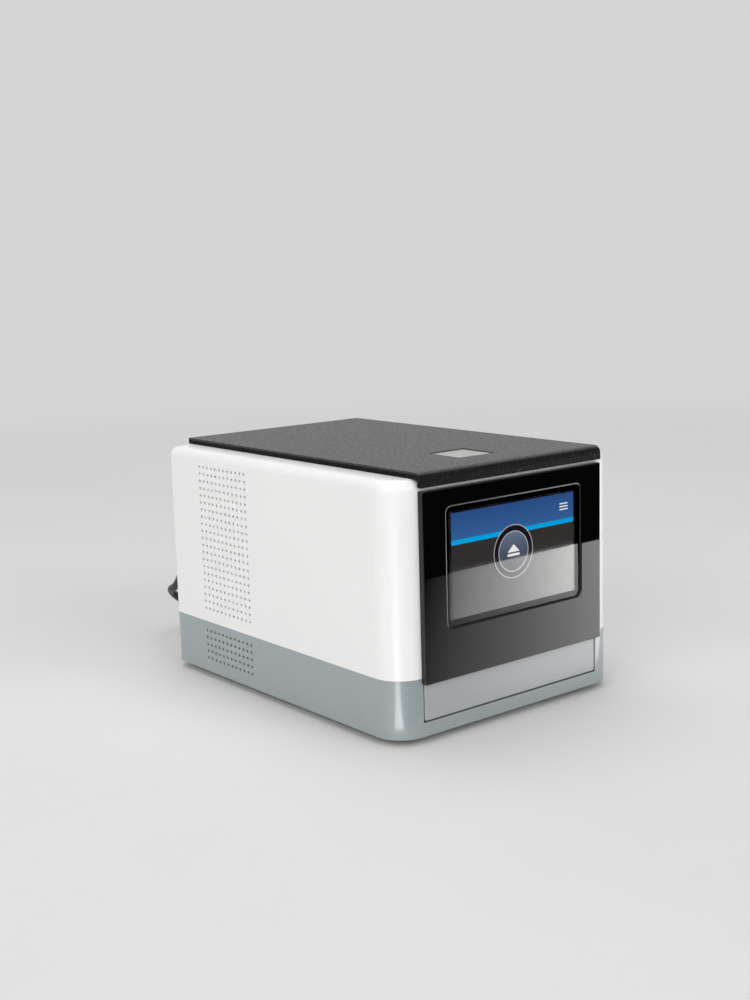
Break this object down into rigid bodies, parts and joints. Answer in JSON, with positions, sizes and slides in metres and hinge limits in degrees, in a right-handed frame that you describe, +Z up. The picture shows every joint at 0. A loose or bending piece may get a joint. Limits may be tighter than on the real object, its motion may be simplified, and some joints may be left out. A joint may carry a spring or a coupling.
{
  "type": "microfluidic chip controller",
  "caption": "Bench controller that drives a microfluidic chip: white shell on a grey base, black lid, touch display, motor drawer for the chip holder and an inner press.",
  "frame": {"origin": "on the bench, below the middle of the housing and its front panel", "axes": "+Z up, +Y to the rear, away from the display; +X to the right seen from the front"},
  "size_m": [0.275, 0.3687, 0.1685],
  "materials": {
    "grey_base": "satin moulded grey",
    "grey_drawer": "satin moulded light grey",
    "white_shell": "satin moulded warm white",
    "lid_black": "fine spark-eroded black",
    "inlay_grey": "matt light grey",
    "gloss_black": "high gloss black",
    "cover_glass": "clear cover glass",
    "foam_black": "black foam",
    "display": "display face in a dark bezel",
    "zinc_steel": "zinc plated sheet",
    "board_green": "solder mask green",
    "screw_steel": "zinc plated",
    "plain_black": "matt black moulding",
    "rail_steel": "ground steel",
    "carriage_steel": "ground steel with plastic ends",
    "motor_can": "plated can",
    "motor_black": "black and bare laminations",
    "mill_aluminium": "milled and clear anodised",
    "nest_aluminium": "hard anodised dark grey",
    "valve_black": "black valve bodies",
    "vessel_white": "natural nylon",
    "standoff_brass": "turned brass",
    "rear_paint": "fine texture grey paint",
    "socket_metal": "tin plated shell",
    "guard_wire": "bright plated",
    "foot_rubber": "black rubber",
    "cord_moulding": "satin black moulded on",
    "cord_jacket": "smooth black jacket",
    "tie_strap": "soft black strap",
    "rack_plastic": "natural acetal",
    "pinion_brass": "cut brass",
    "bushing_bronze": "sintered bronze",
    "block_clear": "milled natural plastic",
    "seal_silicone": "translucent silicone",
    "fitting_steel": "turned stainless",
    "rocker_black": "gloss black rocker",
    "fan_black": "matt black moulding"
  },
  "bodies": {
    "housing": {"lower_housing": "grey_base", "upper_shell": "white_shell", "top_lid": "lid_black", "lid_inlay": "inlay_grey", "front_panel": "gloss_black", "touch_glass": "cover_glass", "display_gasket": "foam_black", "display_module": "display", "display_bracket": "zinc_steel", "display_board": "board_green", "panel_screws": "screw_steel", "home_sensor": "plain_black", "guide_rails": "rail_steel", "drive_motor": "motor_can", "motor_bracket": "zinc_steel", "guide_posts": "rail_steel", "press_bridge": "mill_aluminium", "press_motor": "motor_black", "valve_manifold": "mill_aluminium", "solenoid_valves": "valve_black", "pressure_regulator": "mill_aluminium", "air_pump": "plain_black", "air_reservoir": "vessel_white", "chassis_plate": "zinc_steel", "equipment_deck": "zinc_steel", "board_standoffs": "standoff_brass", "main_board": "board_green", "power_supply": "zinc_steel", "rear_panel": "rear_paint", "rear_screws": "screw_steel", "power_inlet": "plain_black", "switch_housing": "plain_black", "network_socket": "socket_metal", "usb_socket": "socket_metal", "fan_frame": "plain_black", "fan_guard": "guard_wire", "feet": "foot_rubber", "housing_screws": "screw_steel", "cord_connector": "cord_moulding", "power_cord_lead": "cord_jacket", "power_cord_coil": "cord_jacket", "power_cord_tail": "cord_jacket", "cord_tie": "tie_strap", "mains_plug": "cord_moulding"},
    "drawer": {"drawer_front": "grey_drawer", "tray_plate": "mill_aluminium", "chip_nest": "nest_aluminium", "nest_pins": "rail_steel", "guide_carriages": "carriage_steel", "drive_rack": "rack_plastic"},
    "pinion": {"drive_pinion": "pinion_brass"},
    "press": {"press_head": "mill_aluminium", "press_bushings": "bushing_bronze", "manifold_block": "block_clear", "manifold_gasket": "seal_silicone", "port_fittings": "fitting_steel", "lift_nut": "bushing_bronze"},
    "spindle": {"lift_screw": "rail_steel"},
    "rocker": {"power_rocker": "rocker_black"},
    "fan": {"fan_rotor": "fan_black"}
  },
  "joints": [
    {"name": "drawer_slide", "type": "slide", "parent": "housing", "child": "drawer", "axis": [0, -1, 0], "range_m": [0, 0.12]},
    {"name": "pinion_spin", "type": "hinge", "parent": "housing", "child": "pinion", "pos_m": [0.0754, -0.066, 0.0245], "axis": [0, 0, 1], "range_deg": [0, 956]},
    {"name": "press_slide", "type": "slide", "parent": "housing", "child": "press", "axis": [0, 0, 1], "range_m": [-0.004, 0]},
    {"name": "spindle_spin", "type": "hinge", "parent": "housing", "child": "spindle", "pos_m": [0, -0.066, 0.09], "axis": [0, 0, 1], "range_deg": [0, 361]},
    {"name": "rocker_tilt", "type": "hinge", "parent": "housing", "child": "rocker", "pos_m": [-0.058, 0.124, 0.102], "axis": [1, 0, 0], "range_deg": [0, 18]},
    {"name": "fan_spin", "type": "hinge", "parent": "housing", "child": "fan", "pos_m": [0.042, 0.118, 0.1], "axis": [0, 1, 0], "continuous": true}
  ],
  "couplings": [
    {"joint": "pinion_spin", "follows": "drawer_slide", "rad_per_m": 138.89},
    {"joint": "spindle_spin", "follows": "press_slide", "rad_per_m": -1570.8}
  ]
}
